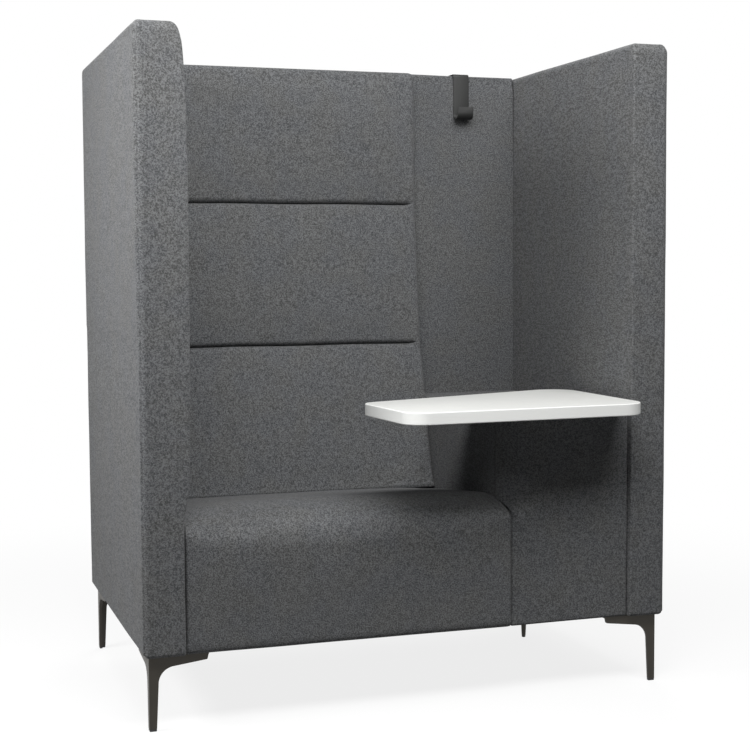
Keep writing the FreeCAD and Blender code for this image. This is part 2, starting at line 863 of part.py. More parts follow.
# Coat hook
hook_top = overall_height + hook_ease
hook_front = back_face - hook_ease
hook_rear = back_face + back_thickness + hook_ease
hook_low = hook_top - hook_drop
hook_tip = hook_front - hook_reach
bend_outer = hook_bend + hook_strip
bowl_outer = hook_bowl + hook_strip
hook_outline = [
    (hook_rear, hook_top - hook_rear_lip, 0),
    (hook_rear + hook_strip, hook_top - hook_rear_lip, 0),
    (hook_rear + hook_strip, hook_top + hook_strip, bend_outer),
    (hook_front - hook_strip, hook_top + hook_strip, bend_outer),
    (hook_front - hook_strip, hook_low + hook_strip, hook_bowl),
    (hook_tip + hook_strip, hook_low + hook_strip, hook_bowl),
    (hook_tip + hook_strip, hook_low + hook_upturn, 0),
    (hook_tip, hook_low + hook_upturn, 0),
    (hook_tip, hook_low, bowl_outer),
    (hook_front, hook_low, bowl_outer),
    (hook_front, hook_top, hook_bend),
    (hook_rear, hook_top, hook_bend),
]
hook_right = inner_half - hook_from_wing
pieces["coat_hook"] = side_prism(hook_outline, hook_right - hook_width, hook_right)

# Save every piece with the booth's middle at the origin
front_left_arc = outline_arcs(table_outline)[0]
booth_front = front_left_arc[3].y - table_inner_radius
booth_middle = (booth_front + wing_depth) / 2
for name, shape in pieces.items():
    shape.translated(Vector(0, -booth_middle, 0)).exportStep("parts/" + name + ".step")
print("pieces", len(pieces), "booth middle at", round(booth_middle, 3))
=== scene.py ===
"""Upholstery, finishes and studio for a privacy booth sofa, built around its packed construction."""

import json
import math

import bmesh
import bpy
import numpy as np
from bpy.props import FloatProperty, FloatVectorProperty, PointerProperty
from mathutils import Matrix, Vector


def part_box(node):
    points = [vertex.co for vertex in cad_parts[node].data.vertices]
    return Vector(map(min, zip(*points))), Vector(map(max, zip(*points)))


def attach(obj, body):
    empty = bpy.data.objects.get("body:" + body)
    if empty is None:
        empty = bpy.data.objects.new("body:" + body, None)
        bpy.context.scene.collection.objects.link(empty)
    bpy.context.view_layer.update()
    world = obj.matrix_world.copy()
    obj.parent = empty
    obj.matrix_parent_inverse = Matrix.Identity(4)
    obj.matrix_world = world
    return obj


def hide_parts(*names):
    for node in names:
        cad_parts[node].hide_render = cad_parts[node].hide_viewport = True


bl_info = {
    "name": "Privacy booth sofa",
    "version": (1, 0, 0),
    "blender": (4, 5, 0),
    "location": "View3D > Sidebar > Booth",
    "description": "Dresses a privacy booth sofa with cloth, seams, metal, table and a plain studio",
    "category": "Object",
}

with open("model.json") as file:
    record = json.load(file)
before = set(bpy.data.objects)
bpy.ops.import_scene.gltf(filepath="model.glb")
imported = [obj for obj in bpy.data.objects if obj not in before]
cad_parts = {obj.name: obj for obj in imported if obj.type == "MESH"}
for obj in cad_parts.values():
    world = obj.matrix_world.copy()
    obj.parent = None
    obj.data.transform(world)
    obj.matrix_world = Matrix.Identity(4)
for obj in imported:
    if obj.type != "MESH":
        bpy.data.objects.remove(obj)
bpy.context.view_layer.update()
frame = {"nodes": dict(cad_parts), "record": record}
BOOTH = "booth"
HOOK = "hook"
# Each panel's thin axis, and the direction along it in which its inner side faces
PANELS = {"left_wing": (0, 1), "right_wing": (0, -1), "back": (1, -1)}
# Grid steps in metres along tight edges and on the panels' open faces
EDGE_STEP = 0.0016
PANEL_STEP = 0.011
# Height in metres up to which a point counts as underneath, and width of the rise at a hem's edge
UNDERSIDE = 0.004
HEM_RISE = 0.003
# Frames of each cloth simulation
SWELL_FRAMES = 12
# Keeps a division from a length of zero
TINY = 1e-9


def length(name, default, description):
    """A size in metres that a user may change."""
    return FloatProperty(name=name, description=description, default=default, unit="LENGTH", precision=4)


def tint(name, default, description):
    """A colour that a user may change."""
    return FloatVectorProperty(name=name, description=description, default=default, subtype="COLOR", size=3)


def plain(name, default, description):
    """A bare number that a user may change."""
    return FloatProperty(name=name, description=description, default=default, precision=3)


def turn(name, default, description):
    """An angle that a user may change, given here in degrees."""
    angle = math.radians(default)
    kind = {"subtype": "ANGLE", "unit": "ROTATION"}
    return FloatProperty(name=name, description=description, default=angle, **kind)


class BoothPadding(bpy.types.PropertyGroup):
    """Sizes of the padded forms."""

    joint_gap: length("Joint gap", 0.0009, "Room left between a padded form and the space it fills")
    panel_outer_edge: length("Outer edge", 0.015, "Rounding between a panel's outer face and its strip")
    panel_inner_edge: length("Inner edge", 0.004, "Rounding between a panel's inner face and its strip")
    panel_top_edge: length("Panel top edge", 0.014, "Rounding along a panel's top")
    panel_corner: length("Panel corner", 0.022, "Rounding of a panel's top corners seen square on")
    panel_foot: length("Panel foot", 0.008, "Rounding of a panel's lower corners seen square on")
    left_wing_bow: length("Left wing bow", 0.016, "How far the left wing swells in above the seat")
    panel_crown: length("Panel crown", 0.0022, "How far the middle of a panel swells")
    seam_depth: length("Seam depth", 0.0011, "How deep a sewn seam lies in the cloth")
    seam_width: length("Seam width", 0.0026, "Half the width of a sewn seam")
    hem_width: length("Hem width", 0.028, "Cloth turned in underneath, round the dust sheet")
    hem_step: length("Hem step", 0.0024, "Height of the hem's edge above the dust sheet")
    ripple: length("Ripple", 0.0009, "Height of the cloth's slow unevenness")
    seat_end: length("Seat end", 0.006, "Rounding of the seat's two ends")
    seat_crown: length("Seat crown", 0.004, "How far the seat's middle swells before it is simulated")
    seat_swell: length("Seat swell", 0.003, "The most that the simulated seat cloth may move")
    cushion_edge: length("Cushion edge", 0.012, "Rounding of the back cushion's front edges")
    cushion_corner: length("Cushion corner", 0.015, "Rounding of the back cushion's corners")
    cushion_crown: length("Cushion crown", 0.005, "Swell of each section before it is simulated")
    cushion_swell: length("Cushion swell", 0.004, "The most that the simulated cushion cloth may move")
    cushion_sink: length("Cushion sink", 0.002, "How far the cushion's lower edge presses into the seat")
    tuck_depth: length("Tuck depth", 0.016, "How deep a sewn tuck is pulled in")
    tuck_reach: length("Tuck reach", 0.014, "Height over which a section turns in to its tuck")
    tuck_fade: length("Tuck fade", 0.02, "Width over which a tuck dies out at the cushion's ends")
    sheet_sag: length("Sheet sag", 0.0016, "Sag of the dust sheets underneath")
    metal_edge: length("Metal edge", 0.0011, "Softening of the metal pieces' edges")


class BoothFinish(bpy.types.PropertyGroup):
    """Colours of the finishes."""

    cloth_dark: tint("Dark fibre", (0.024, 0.025, 0.026), "Darkest wool in the cloth")
    cloth_light: tint("Light fibre", (0.178, 0.182, 0.187), "Palest wool in the cloth")
    cloth_warm: tint("Warm cast", (0.0955, 0.0942, 0.09), "Slow warm drift of the cloth's colour")
    cloth_cool: tint("Cool cast", (0.089, 0.0918, 0.098), "Slow cool drift of the cloth's colour")
    # The edge band is paler than the faces: partly its own whiter colour, and partly painted light for the
    # stronger light on the front edge than on the top.
    table: tint("Table", (0.7, 0.704, 0.682), "Laminate of the table's faces")
    table_edge: tint("Table edge", (0.84, 0.847, 0.826), "Band round the table's edge")
    leg: tint("Legs", (0.038, 0.033, 0.025), "Bronze coating of the legs")
    hook: tint("Hook", (0.0115, 0.0119, 0.0115), "Coating of the coat hook")


class BoothStudio(bpy.types.PropertyGroup):
    """Camera and light."""

    lens: plain("Lens", 71.61, "Focal length in millimetres on a 36 mm sensor")
    camera_x: length("Camera X", -1.0601, "Camera's place across the booth")
    camera_y: length("Camera Y", -3.1847, "Camera's place in front of the booth's middle")
    camera_z: length("Camera Z", 0.9207, "Camera's height above the floor")
    yaw: turn("Yaw", 18.494, "Camera's turn to the right")
    pitch: turn("Pitch", 4.11, "Camera's tilt down")
    roll: turn("Roll", -0.298, "Camera's turn about its own axis")
    key_power: plain("Key light", 69.0, "Power in watts of the soft light above the front")
    front_power: plain("Front light", 12.5, "Power in watts of the soft light before the wings")
    side_power: plain("Side light", 37.0, "Power in watts of the soft light at the left")
    rear_power: plain("Rear light", 42.0, "Power in watts of the soft light behind the booth")
    sky: plain("Sky", 0.038, "Strength of the even light from all round")


def padding():
    """The padding sizes of the open scene."""
    return bpy.context.scene.booth_padding


def finish_colours():
    """The finish colours of the open scene."""
    return bpy.context.scene.booth_finish


# Surfaces worked out on grids


def graded(low, high, rim, fine, coarse):
    """Places from low to high: fine apart within rim of both ends, and coarse apart between."""
    border = np.linspace(0, rim, max(2, round(rim / fine) + 1))[:-1]
    count = max(2, round((high - low - 2 * rim) / coarse) + 1)
    middle = np.linspace(low + rim, high - rim, count)
    return np.concatenate([low + border, middle, (high - border)[::-1]])


def box_grid(lines):
    """Points and outward quads of a box whose sides are cut by three lists of places.

    Each side is a grid of whole-number places; equal places are merged, which closes the edges.
    """
    counts = [len(line) - 1 for line in lines]
    sides = []
    for axis in range(3):
        u, v = (axis + 1) % 3, (axis + 2) % 3
        first, second = np.meshgrid(np.arange(counts[u]), np.arange(counts[v]), indexing="ij")
        for level in (0, counts[axis]):
            corners = []
            for step_u, step_v in ((0, 0), (1, 0), (1, 1), (0, 1)):
                place = np.zeros(first.shape + (3,), int)
                place[..., axis] = level
                place[..., u] = first + step_u
                place[..., v] = second + step_v
                corners.append(place.reshape(-1, 3))
            sides.append(np.stack(corners if level else corners[::-1], axis=1))
    quads = np.concatenate(sides)
    places, index = np.unique(quads.reshape(-1, 3), axis=0, return_inverse=True)
    points = np.stack([np.asarray(lines[axis])[places[:, axis]] for axis in range(3)], axis=1)
    return points, index.reshape(-1, 4)


def vertex_normals(points, faces):
    """Unit normals at the points: the sum of the normals of the faces round each one."""
    across = points[faces[:, 2]] - points[faces[:, 0]]
    along = points[faces[:, -1]] - points[faces[:, 1]]
    face_normals = np.cross(across, along)
    normals = np.zeros_like(points)
    for corner in range(faces.shape[1]):
        np.add.at(normals, faces[:, corner], face_normals)
    return normals / np.maximum(np.linalg.norm(normals, axis=1, keepdims=True), 1e-12)


def smooth_step(low, high, value):
    """0 below low and 1 above high, with an even S-shaped rise between."""
    share = np.clip((value - low) / (high - low), 0, 1)
    return share * share * (3 - 2 * share)


def soft_box(points, low, high, thin, edge, corners):
    """Rounds a box: its outline seen along the thin axis first, then the two rims of that outline.

    A point near an outline corner keeps its level, the larger of its two distances past the
    corner's centre, and moves onto the circle of that radius. A point on a rim keeps its direction
    from the rim's centre and moves onto a circle of the edge radius. corners holds a radius for
    each of the four corners, by low or high along the two axes across the thin one, and may hold
    such a set for each point. Returns the points, the distance of each from the outline, and its
    distance along the surface from the middle of the rim's rounding, where the seam is sewn.
    """
    u, v = [axis for axis in range(3) if axis != thin]
    flat = points[:, [u, v]]
    flat_low = np.array([low[u], low[v]])
    flat_high = np.array([high[u], high[v]])
    upper = (flat > (flat_low + flat_high) / 2).astype(int)
    each = np.broadcast_to(corners, (len(points), 2, 2))
    radius = each[np.arange(len(points)), upper[:, 0], upper[:, 1]][:, None]
    centre = np.clip(flat, flat_low + radius, flat_high - radius)
    past = flat - centre
    level = np.abs(past).max(axis=1, keepdims=True)
    reach = np.linalg.norm(past, axis=1, keepdims=True)
    heading = past / np.maximum(reach, TINY)
    inside = np.where(level > 0, radius - level, radius)[:, 0]
    middle = (low[thin] + high[thin]) / 2
    half = (high[thin] - low[thin]) / 2
    rise = points[:, thin] - middle
    outer = np.abs(rise) - (half - edge)
    inner = edge - inside
    on_rim = (outer > 0) & (inner > 0)
    length_from_centre = np.maximum(np.hypot(outer, inner), TINY)
    shrink = np.where(on_rim, edge / length_from_centre, 1.0)
    new_inside = np.where(on_rim, edge - inner * shrink, inside)
    new_rise = np.where(on_rim, np.sign(rise) * (half - edge + outer * shrink), rise)
    result = points.copy()
    moved = centre + heading * (radius - new_inside[:, None])
    result[:, [u, v]] = np.where(level > 0, moved, flat)
    result[:, thin] = middle + new_rise
    angle = np.arctan2(np.maximum(outer, 0), np.maximum(inner, 0))
    from_seam = edge * np.abs(angle - math.pi / 4)
    from_seam = from_seam + np.maximum(-outer, 0) * (inner > 0) + np.maximum(-inner, 0)
    return result, inside, from_seam


def slow_ripple(points, height):
    """The cloth's slow unevenness: a sum of five plane waves, 0.1 to 0.7 m long.

    Each wave has its radians per metre along the three axes, its phase and its share of the height.
    """
    waves = (
        (7.1, 3.3, 5.2, 0.3, 0.34),
        (13.7, -9.1, 4.4, 1.9, 0.24),
        (-5.3, 17.9, 11.6, 4.1, 0.18),
        (29.0, 8.3, -21.0, 2.6, 0.13),
        (-33.0, 27.0, 36.0, 5.5, 0.11),
    )
    total = np.zeros(len(points))
    for across, along, up, phase, share in waves:
        total += share * np.sin(points @ np.array([across, along, up]) + phase)
    return height * total


def bulge(value, low, high, power):
    """1 in the middle of a span, falling to 0 at both ends: 1 minus a power of the distance."""
    share = np.clip(np.abs(2 * (value - low) / (high - low) - 1), 0, 1)
    return 1 - share**power


def sew(points, faces, from_seam, seam_width, seam_depth):
    """Sinks a seam: a narrow bell-shaped groove between two low swellings. The groove's share, also
    returned, is darkened in the cloth as painted shade.
    """
    groove = np.exp(-((from_seam / seam_width) ** 2))
    swelling = np.exp(-(((from_seam - 4 * seam_width) / (2.5 * seam_width)) ** 2))
    move = 0.3 * seam_depth * swelling - seam_depth * groove
    return points + vertex_normals(points, faces) * move[:, None], groove


def inside_box(points, low, high):
    """How far each point lies inside a box's outline seen from below."""
    gaps = np.concatenate([points[:, :2] - low[:2], high[:2] - points[:, :2]], axis=1)
    return gaps.min(axis=1)


def turn_hem(points, bottom, inside):
    """Lifts the underside past the hem's width by the hem's step, so that the hem stands proud."""
    sizes = padding()
    underneath = points[:, 2] < bottom + UNDERSIDE
    lift = smooth_step(sizes.hem_width - HEM_RISE, sizes.hem_width, inside) * sizes.hem_step
    points[:, 2] += np.where(underneath, lift, 0.0)


def placed(name, data):
    """A new object in the open scene."""
    item = bpy.data.objects.new(name, data)
    bpy.context.scene.collection.objects.link(item)
    return item


def shade_smooth(mesh):
    """Gives every face of a mesh smooth shading."""
    mesh.polygons.foreach_set("use_smooth", np.ones(len(mesh.polygons), bool))


def new_piece(name, points, faces, seam=None):
    """A smooth mesh object from points and faces, with its seam share kept as an attribute, which the cloth
    darkens as painted shade.
    """
    mesh = bpy.data.meshes.new(name)
    mesh.from_pydata(points.tolist(), [], faces if isinstance(faces, list) else faces.tolist())
    shade_smooth(mesh)
    if seam is not None:
        attribute = mesh.attributes.new("seam", "FLOAT", "POINT")
        attribute.data.foreach_set("value", seam.astype(np.float32))
    mesh.update()
    return placed(name, mesh)


def dress(piece, material, nodes, body=BOOTH):
    """Gives a new piece its material and slot, and puts it on its body in place of the nodes."""
    piece.data.materials.clear()
    piece.data.materials.append(material)
    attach(piece, body)
    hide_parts(*nodes)
    return piece


# Shader building


class Term:
    """A shader value that takes part in sums: each operator adds one Math node."""

    def __init__(self, finish, socket):
        self.finish = finish
        self.socket = socket

    def _sum(self, operation, first, second):
        return self.finish.add("ShaderNodeMath", {"operation": operation}, {0: first, 1: second})

    def __add__(self, other):
        return self._sum("ADD", self, other)

    def __radd__(self, other):
        return self._sum("ADD", other, self)

    def __sub__(self, other):
        return self._sum("SUBTRACT", self, other)

    def __rsub__(self, other):
        return self._sum("SUBTRACT", other, self)

    def __mul__(self, other):
        return self._sum("MULTIPLY", self, other)

    def __rmul__(self, other):
        return self._sum("MULTIPLY", other, self)


class Finish:
    """One material: its nodes are added with add(), and its surface is set with surface()."""

    def __init__(self, name, owner=None):
        self.owner = owner or bpy.data.materials.new(name)
        self.owner.use_nodes = True
        self.tree = self.owner.node_tree
        self.tree.nodes.clear()

    def add(self, kind, settings=None, inputs=None, output=0):
        """Adds a node of a kind, sets its settings, then its sockets, and returns one output."""
        node = self.tree.nodes.new(kind)
        for key, value in (settings or {}).items():
            setattr(node, key, value)
        for key, value in (inputs or {}).items():
            socket = node.inputs[key]
            if isinstance(value, Term):
                self.tree.links.new(value.socket, socket)
            elif isinstance(value, tuple) and socket.type == "RGBA":
                socket.default_value = (*value[:3], 1)
            else:
                socket.default_value = value
        return Term(self, node.outputs[output]) if node.outputs else None

    def place(self, scale=(1, 1, 1)):
        """The piece's own coordinates, stretched along its axes."""
        spot = self.add("ShaderNodeTexCoord", None, None, "Object")
        return self.add("ShaderNodeMapping", None, {"Vector": spot, "Scale": scale})

    def noise(self, scale, detail=2.0, rough=0.5, stretch=(1, 1, 1)):
        """Soft noise with about this many lumps in a metre."""
        inputs = {"Vector": self.place(stretch), "Scale": scale, "Detail": detail, "Roughness": rough}
        return self.add("ShaderNodeTexNoise", None, inputs, "Fac")

    def between(self, value, low, high):
        """A value spread so that low becomes 0 and high becomes 1, smoothly."""
        settings = {"interpolation_type": "SMOOTHSTEP"}
        return self.add("ShaderNodeMapRange", settings, {"Value": value, 1: low, 2: high})

    def blend(self, share, first, second):
        """One colour turning into another as share goes from 0 to 1, by a Mix node's colour sockets."""
        return self.add("ShaderNodeMix", {"data_type": "RGBA"}, {0: share, 6: first, 7: second}, 2)

    def bump(self, height, distance, strength=1.0, normal=None):
        """A normal tilted by a height."""
        inputs = {"Height": height, "Distance": distance, "Strength": strength}
        if normal is not None:
            inputs["Normal"] = normal
        return self.add("ShaderNodeBump", None, inputs)

    def surface(self, **values):
        """The finished surface; words joined by underscores name the shader's sockets."""
        inputs = {key.replace("_", " "): value for key, value in values.items()}
        skin = self.add("ShaderNodeBsdfPrincipled", None, inputs)
        self.add("ShaderNodeOutputMaterial", None, {"Surface": skin})
        return self.owner


def material_of(name, build):
    """The material of that name, built once."""
    return bpy.data.materials.get(name) or build(name)


def melange_cloth(name):
    """Felted wool: pale and dark fibres in specks of a few millimetres, with painted shade along the sewn
    seams and tucks.
    """
    stitch_length = 0.0045
    colours = finish_colours()
    finish = Finish(name)
    flecks = finish.noise(120.0, 2.0, 0.6, (1.0, 0.3, 1.0))
    specks = finish.noise(330.0, 2.5, 0.65, (1.0, 0.4, 1.0))
    fibres = finish.noise(620.0, 2.0, 0.6, (1.0, 0.4, 1.0))
    hairs = finish.noise(1500.0, 1.0, 0.5, (1.0, 1.0, 0.3))
    mixed = flecks * 0.12 + specks * 0.46 + fibres * 0.34 + hairs * 0.08
    share = finish.between(mixed, 0.42, 0.58)
    drift = finish.between(finish.noise(13.0, 2.0, 0.5), 0.35, 0.65)
    cast = finish.blend(drift, tuple(colours.cloth_warm), tuple(colours.cloth_cool))
    melange = finish.blend(share, tuple(colours.cloth_dark), tuple(colours.cloth_light))
    wool = finish.blend(0.35, melange, cast)
    seam = finish.add("ShaderNodeAttribute", {"attribute_name": "seam"}, None, "Fac")
    spot = finish.add("ShaderNodeSeparateXYZ", None, {0: finish.place()}, 0)
    parts = spot.socket.node.outputs
    along = spot + Term(finish, parts[1]) + Term(finish, parts[2])
    wave = finish.add("ShaderNodeMath", {"operation": "SINE"}, {0: along * (2 * math.pi / stitch_length)})
    # Painted shade: the wool darkens along the seam and tuck grooves, with darker dots at the stitches.
    stitch = finish.between(wave, 0.2, 0.8) * finish.between(seam, 0.55, 0.95)
    painted_seam_shade = finish.between(seam, 0.1, 1.0) * 0.42 + stitch * 0.25
    colour = finish.blend(painted_seam_shade, wool, tuple(0.4 * value for value in colours.cloth_dark))
    rough = 0.86 + fibres * 0.14
    nap = finish.bump(fibres * 0.6 + hairs * 0.4, 0.0007, 0.55)
    normal = finish.bump(specks - stitch * 0.8, 0.0009, 0.5, nap)
    return finish.surface(
        Base_Color=colour,
        Roughness=rough,
        Normal=normal,
        Specular_IOR_Level=0.18,
        Sheen_Weight=0.12,
        Sheen_Roughness=0.55,
    )


def powder_coat(name, colour, gloss, metallic):
    """Coated metal: a fine even texture, a slow drift of tone and slight scuffs."""
    finish = Finish(name)
    grain = finish.noise(1900.0, 2.0, 0.5)
    drift = finish.between(finish.noise(26.0, 3.0, 0.55), 0.3, 0.7)
    scuff = finish.between(finish.noise(240.0, 4.0, 0.7, (1, 1, 0.3)), 0.62, 0.75)
    dark = tuple(0.82 * value for value in colour)
    pale = tuple(min(1.0, 1.55 * value + 0.006) for value in colour)
    tone = finish.blend(drift, dark, tuple(colour))
    tone = finish.blend(scuff * 0.35, tone, pale)
    rough = gloss + drift * 0.08 + scuff * 0.12
    normal = finish.bump(grain, 0.00025, 0.35)
    return finish.surface(Base_Color=tone, Roughness=rough, Metallic=metallic, Normal=normal)


def laminate(name, colour, gloss):
    """Off-white board: faint cloudy tone, faint wipe marks and a fine press texture."""
    finish = Finish(name)
    cloud = finish.between(finish.noise(7.0, 3.0, 0.5), 0.3, 0.7)
    fine = finish.noise(2600.0, 1.0, 0.5)
    wipe = finish.between(finish.noise(60.0, 3.0, 0.6, (0.15, 1, 1)), 0.4, 0.75)
    tone = finish.blend(cloud * 0.5, tuple(colour), tuple(0.96 * value for value in colour))
    rough = gloss + cloud * 0.05 + wipe * 0.07
    normal = finish.bump(fine, 0.00012, 0.25)
    return finish.surface(Base_Color=tone, Roughness=rough, Normal=normal, Specular_IOR_Level=0.15)


def timber(name, pale, dark, lines, stretch):
    """Wood: stretched noise for the grain lines, and broader bands along the board."""
    finish = Finish(name)
    grain = finish.noise(lines, 4.0, 0.65, stretch)
    bands = finish.between(finish.noise(lines * 0.2, 2.0, 0.5, stretch), 0.35, 0.65)
    share = finish.between(grain, 0.35, 0.68) * 0.7 + bands * 0.3
    tone = finish.blend(share, pale, dark)
    normal = finish.bump(grain, 0.0004, 0.3)
    return finish.surface(Base_Color=tone, Roughness=0.62 + grain * 0.2, Normal=normal)


def woven_tape(name, dark, pale, threads):
    """Plain weave: two crossed waves, one for each direction of the threads."""
    finish = Finish(name)
    spot = finish.add("ShaderNodeSeparateXYZ", None, {0: finish.place()}, 0)
    across = Term(finish, spot.socket.node.outputs[1])
    warp = finish.add("ShaderNodeMath", {"operation": "SINE"}, {0: spot * threads})
    weft = finish.add("ShaderNodeMath", {"operation": "SINE"}, {0: across * threads})
    weave = warp * weft
    fuzz = finish.noise(900.0, 2.0, 0.6)
    share = finish.between(weave * 0.5 + fuzz, 0.2, 1.0)
    tone = finish.blend(share, dark, pale)
    normal = finish.bump(weave, 0.0004, 0.4)
    return finish.surface(Base_Color=tone, Roughness=0.85 + fuzz * 0.1, Normal=normal)


def turned_steel(name):
    """Plated steel: fine turning lines and slight clouding."""
    finish = Finish(name)
    lines = finish.noise(1400.0, 2.0, 0.6, (1, 1, 6))
    cloud = finish.between(finish.noise(90.0, 2.0, 0.5), 0.3, 0.7)
    tone = finish.blend(cloud, (0.5, 0.5, 0.51), (0.62, 0.62, 0.62))
    normal = finish.bump(lines, 0.0001, 0.3)
    return finish.surface(Base_Color=tone, Roughness=0.3 + lines * 0.2, Metallic=1.0, Normal=normal)


def moulded_plastic(name):
    """Black moulded plastic: a fine spark texture."""
    finish = Finish(name)
    spark = finish.noise(2200.0, 2.0, 0.5)
    tone = finish.blend(spark, (0.012, 0.012, 0.012), (0.03, 0.03, 0.03))
    normal = finish.bump(spark, 0.0002, 0.4)
    return finish.surface(Base_Color=tone, Roughness=0.5 + spark * 0.2, Normal=normal)


def cloth():
    """The upholstery cloth."""
    return material_of("melange_wool_cloth", melange_cloth)


# Pieces


def fitted(node, gap):
    """A node's lowest and highest corners, drawn in by a gap all round."""
    low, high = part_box(node)
    return np.array(low) + gap, np.array(high) - gap


def bow_in(points, low, high, inward, depth):
    """Swells a wing's inner side above the seat, most at its front and not where the cushion meets it.

    The move grows evenly across the wing's thickness, and follows the sum of a flat and a round arch.
    """
    flat_share = 0.6
    flat_power = 14
    round_power = 3
    full_depth = 0.15
    seat_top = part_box("seat_cover")[1][2]
    cushion_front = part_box("back_cushion_cover")[0][1]
    outer = high[0] if inward < 0 else low[0]
    across = np.abs(points[:, 0] - outer) / (high[0] - low[0])
    arch = flat_share * bulge(points[:, 2], seat_top, high[2], flat_power)
    arch += (1 - flat_share) * bulge(points[:, 2], seat_top, high[2], round_power)
    fade = 1 - smooth_step(low[1] + full_depth, cushion_front, points[:, 1])
    points[:, 0] += inward * depth * across * arch * fade


def padded_panel(name, thin, inward, bow):
    """A padded panel: a soft box with a crown on each side, a seam round its outer face and a hem.

    Its rims are tight on the side that faces inward, and soft outside and along the top.
    """
    fine_zone = 1.3
    crown_power = 6
    crown_level = 0.6
    far_from_seam = 1.0
    seam_shade = 0.4
    sizes = padding()
    low, high = fitted(name + "_cover", 0.0)
    rim = sizes.panel_corner * fine_zone
    lines = [graded(low[axis], high[axis], rim, EDGE_STEP, PANEL_STEP) for axis in range(3)]
    points, faces = box_grid(lines)
    top_corner = sizes.panel_corner if thin == 0 else sizes.panel_inner_edge
    corners = np.array([[sizes.panel_foot, top_corner]] * 2)
    middle = (low + high) / 2
    near_top = smooth_step(high[2] - 3 * sizes.panel_top_edge, high[2] - sizes.panel_top_edge, points[:, 2])
    faces_in = (points[:, thin] - middle[thin]) * inward > 0
    edge = np.where(faces_in, sizes.panel_inner_edge, sizes.panel_outer_edge)
    edge = edge + (sizes.panel_top_edge - edge) * near_top
    points, inside, from_seam = soft_box(points, low, high, thin, edge, corners)
    u, v = [axis for axis in range(3) if axis != thin]
    spread = bulge(points[:, u], low[u], high[u], crown_power)
    spread *= bulge(points[:, v], low[v], high[v], crown_power)
    side = np.sign(points[:, thin] - middle[thin])
    broad = smooth_step(0.5 * edge, 4 * edge, inside)
    points[:, thin] += side * broad * sizes.panel_crown * (spread - crown_level)
    if bow:
        bow_in(points, low, high, inward, bow)
    points += vertex_normals(points, faces) * slow_ripple(points, sizes.ripple)[:, None]
    from_seam = np.where(faces_in, far_from_seam, from_seam)
    points, seam = sew(points, faces, from_seam, sizes.seam_width, sizes.seam_depth)
    turn_hem(points, low[2], inside_box(points, low, high))
    points[:, 2] = np.maximum(points[:, 2], low[2])
    piece = new_piece(name + "_upholstery", points, faces, seam_shade * seam)
    dress(piece, cloth(), [name + "_cover", name + "_foam"])


class BOOTH_OT_panels(bpy.types.Operator):
    """Padded wings and back panel with their seams"""

    bl_idname = "booth.panels"
    bl_label = "Wings and back"

    def execute(self, context):
        for name, (thin, inward) in PANELS.items():
            bow = padding().left_wing_bow if name == "left_wing" else 0.0
            padded_panel(name, thin, inward, bow)
        return {"FINISHED"}


class BOOTH_OT_pedestal(bpy.types.Operator):
    """Padded pedestal: its front-left corner is round above the seat, and square beside it"""

    bl_idname = "booth.pedestal"
    bl_label = "Pedestal"

    # Radii, the place of the seam behind the front-left corner, and the place of a dark line of painted
    # shade at that corner, where the seat's end meets the pedestal
    corner_radius = 0.08
    wall_radius = 0.004
    edge_radius = 0.004
    side_seam = 0.088
    joint_seam = 0.0015
    seam_share = 0.6
    # How far below the seat's top the corner begins to be round, and over what height it grows
    rounding_start = 0.08
    rounding_height = 0.09
    fine_zone = 0.096
    fine_step = 0.0024
    open_step = 0.012

    def execute(self, context):
        sizes = padding()
        low, high = fitted("pedestal_cover", sizes.joint_gap)
        low[2] -= sizes.joint_gap
        high[2] += sizes.joint_gap
        steps = (self.fine_zone, self.fine_step, self.open_step)
        lines = [graded(low[axis], high[axis], *steps) for axis in range(3)]
        points, faces = box_grid(lines)
        seat_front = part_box("seat_cover")[1][2] - self.rounding_start
        above_seat = smooth_step(seat_front, seat_front + self.rounding_height, points[:, 2])
        corners = np.full((len(points), 2, 2), self.wall_radius)
        corners[:, 0, 0] += (self.corner_radius - self.wall_radius) * above_seat
        points, inside, from_seam = soft_box(points, low, high, 2, self.edge_radius, corners)
        points += vertex_normals(points, faces) * slow_ripple(points, sizes.ripple)[:, None]
        across = points[:, 0] - low[0]
        behind = points[:, 1] - low[1]
        from_side_seam = np.hypot(across, behind - self.side_seam)
        # Painted shade: a dark line sewn in just inside the front-left corner, for the joint with the seat.
        from_joint_shade = np.hypot(across - self.joint_seam, behind - self.joint_seam)
        from_seam = np.min([from_seam, from_side_seam, from_joint_shade], axis=0)
        points, seam = sew(points, faces, from_seam, sizes.seam_width, self.seam_share * sizes.seam_depth)
        turn_hem(points, low[2], inside)
        points = np.clip(points, low, high)
        piece = new_piece("pedestal_upholstery", points, faces, seam)
        dress(piece, cloth(), ["pedestal_cover", "pedestal_foam"])
        return {"FINISHED"}


